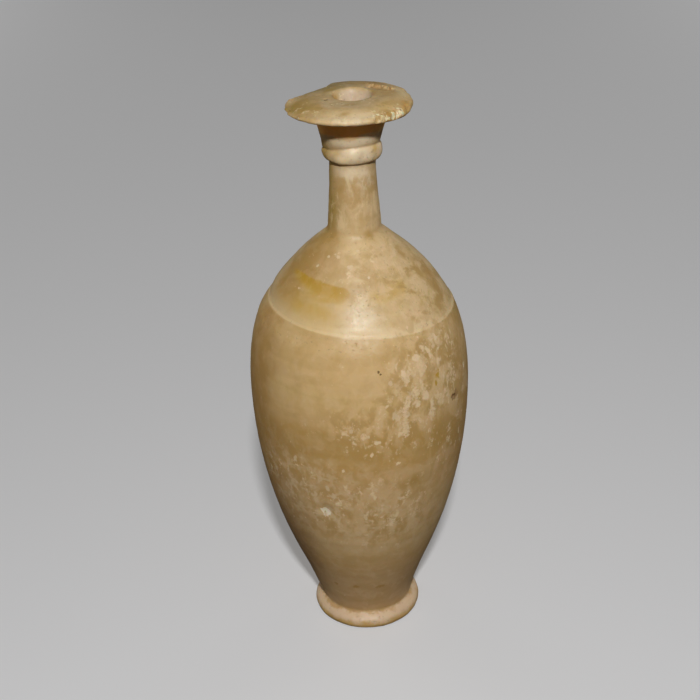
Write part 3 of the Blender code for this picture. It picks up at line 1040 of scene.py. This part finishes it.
def curd_walls(stone, size):
    """Broken pale walls between clear cells, like curdled milk."""
    bent = stone.stretched(stone.stirred(size * 0.7, size * 1.6), (1, 1, 0.7))
    inputs = {"Vector": bent, "Scale": 1 / size}
    cells = stone.node("ShaderNodeTexVoronoi", inputs, feature="DISTANCE_TO_EDGE")
    walls = stone.step(cells.outputs["Distance"], 0.03, 0.22, 1.0, 0.0)
    return stone.times(walls, stone.step(stone.noise(size * 0.9), 0.40, 0.58))


def flecked(stone, colour):
    """Clots, curdled walls, crystals, curds and specks: their colour and where they lie."""
    density = stone.painted("flecks")
    clots = stone.noise(0.0048, 3.0, 0.4, 0.55, (1, 1, 0.7))
    gaps = stone.step(clots, 0.40, 0.53, 1.0, 0.0)
    gaps = stone.times(gaps, stone.step(density, 0.1, 0.9, 0.0, 0.75))
    colour = stone.mix(gaps, colour, TAN)
    clots = stone.step(clots, 0.48, 0.60)
    clots = stone.times(clots, stone.step(density, 0.1, 0.9, 0.10, 0.35))
    colour = stone.mix(clots, colour, ROSE)
    walls = stone.times(curd_walls(stone, 0.0050), stone.painted("curds"))
    colour = stone.mix(stone.times(walls, 0.75), colour, CURD)
    crystals = crystal_mask(stone, density, 0.0029)
    curds = speck_mask(stone, density, 0.0025, (0.74, 0.55), 0.12)
    specks = speck_mask(stone, density, 0.0012, (0.72, 0.62), 0.08)
    flecks = stone.math("MAXIMUM", crystals, stone.times(curds, 0.85))
    flecks = stone.math("MAXIMUM", flecks, stone.times(specks, 0.5))
    share = stone.times(flecks, stone.step(stone.mottle, 0.36, 0.60, 0.50, 0.95))
    hue = stone.mix(stone.step(stone.height, *CRYSTALS_BEGIN), FLECK, CRYSTAL)
    return stone.mix(share, colour, hue), flecks


def footed(stone, colour):
    """The worn foot, with a pale face over a tawny edge."""
    ragged = stone.math("MULTIPLY_ADD", stone.ripple, 0.0042, stone.height)
    foot = stone.step(ragged, *FOOT_FACE_ENDS, 1.0, 0.0)
    face = stone.step(ragged, *FOOT_FACE_BEGINS)
    return stone.mix(foot, colour, stone.mix(face, FOOT_EDGE, FOOT_FACE))


def grooved(stone, colour):
    """The grooves, made darker."""
    return stone.mix(stone.times(stone.painted("groove"), 0.90), colour, BARK)


def body_radius(height):
    """The bottle's plain radius at a height below the neck."""
    if height > LINE_HEIGHT:
        return curve([(LINE_HEIGHT, LINE_RADIUS, SHOULDER_SLOPE), SHOULDER_TOP], height)
    return curve(BELLY, height)


def lip_grains():
    """More marks: crystals, and gaps between them, strewn over the lip's chipped front right."""
    draw = np.random.default_rng(GRAIN_SEED)
    grains = []
    for i in range(GRAIN_COUNT):
        hue = CLAY if i % 3 == 2 else CRYSTAL
        turn = draw.uniform(-66, -33)
        away = draw.uniform(0.0184, 0.0204)
        grains.append((turn, away, draw.uniform(0.0003, 0.0006), hue))
    return grains


def mark_mask(stone, fray, azimuth, radius, height, half):
    """A small ragged spot at a place on the stone."""
    centre = (radius * cos(radians(azimuth)), radius * sin(radians(azimuth)), height)
    squeeze = (1 / half[0], 1 / half[0], 1 / half[1])
    away = stone.vector("MULTIPLY", stone.vector("SUBTRACT", stone.place, centre), squeeze)
    away = stone.node("ShaderNodeVectorMath", {0: away}, operation="LENGTH").outputs["Value"]
    return stone.step(stone.math("ADD", fray, away), 0.5, 1.0, 1.0, 0.0)


def marked(stone, colour):
    """The small marks, each of them a ragged spot at its own place."""
    marks = [(turn, body_radius(level), level, half, hue) for turn, level, half, hue in MARKS]
    for turn, away, half, hue in LIP_MARKS + lip_grains():
        marks.append((turn, away, LIP_TOP, (half, LIP_TOP_DEPTH), hue))
    grit = stone.noise(0.0016, 3.0, 0.0, 0.6, (1, 1, 0.7))
    fray = stone.math("SUBTRACT", grit, 0.5)
    fray = stone.math("MULTIPLY_ADD", fray, 3.0, stone.times(stone.ripple, 1.2))
    for azimuth, radius, level, half, hue in marks:
        mark = mark_mask(stone, fray, azimuth, radius, level, half)
        colour = stone.mix(stone.times(mark, 0.9), colour, hue)
    return colour


def alabaster():
    """Honey and cream alabaster with strata, flecks, an ochre seam, wear, dirt and darker grooves,
    over painted shade and a painted highlight.
    """
    material = bpy.data.materials.new("alabaster")
    material.use_nodes = True
    stone = Stone(material)
    colour = strata(stone)
    for layer in (laid_stains_and_painted_light, seamed, wisped, crusted):
        colour = layer(stone, colour)
    colour, flecks = flecked(stone, colour)
    for layer in (footed, grooved, marked):
        colour = layer(stone, colour)

    worn = stone.painted("worn")
    pits = stone.times(stone.step(stone.mottle, 0.30, 0.40, 1.0, 0.0), worn)
    colour = stone.mix(stone.times(pits, 0.22), colour, UMBER)
    grain = stone.noise(0.0009, 3.0)
    coarse = stone.math("MULTIPLY_ADD", worn, 0.45, 0.15)
    relief = stone.math("MULTIPLY_ADD", grain, coarse, stone.times(flecks, 0.30))
    relief = stone.math("MULTIPLY_ADD", pits, -0.6, relief)
    bump = stone.node("ShaderNodeBump", {"Height": relief, "Distance": 0.00010, "Strength": 1.0})
    polish = stone.step(stone.noise(0.0018, 3.0), 0.35, 0.65, 0.33, 0.43)
    roughness = stone.math("MULTIPLY_ADD", worn, 0.14, polish)

    inputs = {
        "Base Color": colour,
        "Roughness": roughness,
        "Normal": bump.outputs[0],
        "IOR": 1.55,
        "Diffuse Roughness": 0.14,
        "Subsurface Weight": 0.20,
        "Subsurface Radius": (1.0, 0.40, 0.12),
        "Subsurface Scale": 0.0015,
    }
    shader = stone.tree.nodes["Principled BSDF"]
    for name, value in inputs.items():
        stone.feed(shader.inputs[name], value)
    return material


def new_object(name, data):
    """A new object in the scene."""
    made = bpy.data.objects.new(name, data)
    bpy.context.scene.collection.objects.link(made)
    return made


def build_bottle(scale, base):
    """The carved bottle, with its reliefs, its painted grounds and its material."""
    plain = skin()
    azimuth = np.arctan2(plain[..., 1], plain[..., 0])
    height = plain[..., 2]
    points = plain + outward(plain) * relief(plain, azimuth)[..., None]
    points = chip_edges(points)
    points[..., 2] = np.maximum(points[..., 2], 0.0)
    mesh = build_mesh(points * scale + base)
    colour, cover = stain_and_painted_light(plain, azimuth, height)
    opaque = np.dstack([colour, np.ones(cover.shape)])
    paint(mesh, "stain_and_painted_light", opaque, "FLOAT_COLOR", "color")
    grounds = {
        "cover": cover,
        "flecks": fleck_and_glint_ground(azimuth, height),
        "seam": seam_ground(azimuth),
        "seam_middle": seam_middle(azimuth),
        "crust": np.clip(patches(azimuth, height, CRUST_PATCHES), 0, 1),
        "curds": np.clip(patches(azimuth, height, CURD_PATCHES), 0, 1),
        "groove": groove_ground(azimuth, height),
        "worn": rough_ground(azimuth, height),
    }
    for name, values in grounds.items():
        paint(mesh, name, values)
    mesh.materials.append(alabaster())
    return new_object("bottle", mesh)


def build_floor():
    """A wide pale floor, with a rim far off that rises past the horizon."""
    corners = [(-1, -1), (1, -1), (1, 1), (-1, 1)]
    reach = FLOOR_SIZE / 2
    points = [(x * reach, y * reach, 0) for x, y in corners]
    reach += FLOOR_RIM_WIDTH
    points += [(x * reach, y * reach, FLOOR_RIM_HEIGHT) for x, y in corners]
    sides = [(k, k + 4, (k + 1) % 4 + 4, (k + 1) % 4) for k in range(4)]
    mesh = bpy.data.meshes.new("floor")
    mesh.from_pydata(points, [], [(0, 1, 2, 3)] + sides)
    floor = new_object("floor", mesh)
    material = bpy.data.materials.new("pale floor")
    material.use_nodes = True
    shader = material.node_tree.nodes["Principled BSDF"]
    shader.inputs["Base Color"].default_value = (*FLOOR_COLOUR, 1)
    shader.inputs["Roughness"].default_value = 0.8
    shader.inputs["Emission Color"].default_value = (1, 1, 1, 1)
    shader.inputs["Emission Strength"].default_value = FLOOR_GLOW
    mesh.materials.append(material)
    floor.visible_diffuse = False
    floor.visible_glossy = False


def add_camera(scale):
    """A camera that looks down on the bottle from the front, turned a little."""
    reach = cos(CAMERA_PITCH)
    forward = Vector((sin(CAMERA_YAW) * reach, cos(CAMERA_YAW) * reach, -sin(CAMERA_PITCH)))
    level = Vector((cos(CAMERA_YAW), -sin(CAMERA_YAW), 0))
    down = forward.cross(level)
    right = level * cos(CAMERA_ROLL) + down * sin(CAMERA_ROLL)
    up = level * sin(CAMERA_ROLL) - down * cos(CAMERA_ROLL)
    data = bpy.data.cameras.new("camera")
    data.lens = LENS_MM
    data.clip_start = 0.01
    camera = new_object("camera", data)
    turn = Matrix((right, up, -forward)).transposed().to_4x4()
    camera.matrix_world = Matrix.Translation(Vector(CAMERA_PLACE) * scale) @ turn
    bpy.context.scene.camera = camera


def add_lamp(name, place, size, power, scale):
    """An area lamp, wide by high, that faces the middle of the bottle."""
    data = bpy.data.lights.new(name, "AREA")
    data.shape = "ELLIPSE"
    data.size, data.size_y = size
    data.energy = power
    lamp = new_object(name, data)
    lamp.location = Vector(place) * scale
    middle = Vector((0, 0, HEIGHT / 2)) * scale
    lamp.rotation_euler = (middle - lamp.location).to_track_quat("-Z", "Y").to_euler()
    lamp.visible_camera = False
    return lamp


def add_lights(scale):
    """A near lamp over the camera, low fills behind, a weak warm bounce in front, a dim sky."""
    add_lamp("key", KEY_PLACE, KEY_SIZE, KEY_POWER, scale)
    for place in FILL_PLACES:
        fill = add_lamp("fill", place, FILL_SIZE, FILL_POWER, scale)
        fill.visible_glossy = False
    bounce = add_lamp("bounce", BOUNCE_PLACE, BOUNCE_SIZE, BOUNCE_POWER, scale)
    bounce.data.color = BOUNCE_COLOUR
    bounce.visible_glossy = False
    world = bpy.data.worlds.new("studio")
    world.use_nodes = True
    sky = world.node_tree.nodes["Background"]
    sky.inputs["Color"].default_value = (*SKY_COLOUR, 1)
    sky.inputs["Strength"].default_value = SKY_STRENGTH
    bpy.context.scene.world = world


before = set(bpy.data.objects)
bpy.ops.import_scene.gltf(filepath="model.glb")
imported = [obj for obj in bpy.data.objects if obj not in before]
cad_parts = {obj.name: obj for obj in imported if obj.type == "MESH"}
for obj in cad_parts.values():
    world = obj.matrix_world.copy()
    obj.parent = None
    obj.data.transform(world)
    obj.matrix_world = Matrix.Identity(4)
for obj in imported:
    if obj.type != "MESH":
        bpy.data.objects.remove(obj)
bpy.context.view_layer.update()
low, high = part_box(NODE)
scale = (high.z - low.z) / HEIGHT
bpy.context.scene.view_settings.view_transform = "Standard"
add_camera(scale)
add_lights(scale)
build_floor()
bottle = build_bottle(scale, np.array([0, 0, low.z]))
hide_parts(NODE)
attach(bottle, BODY)
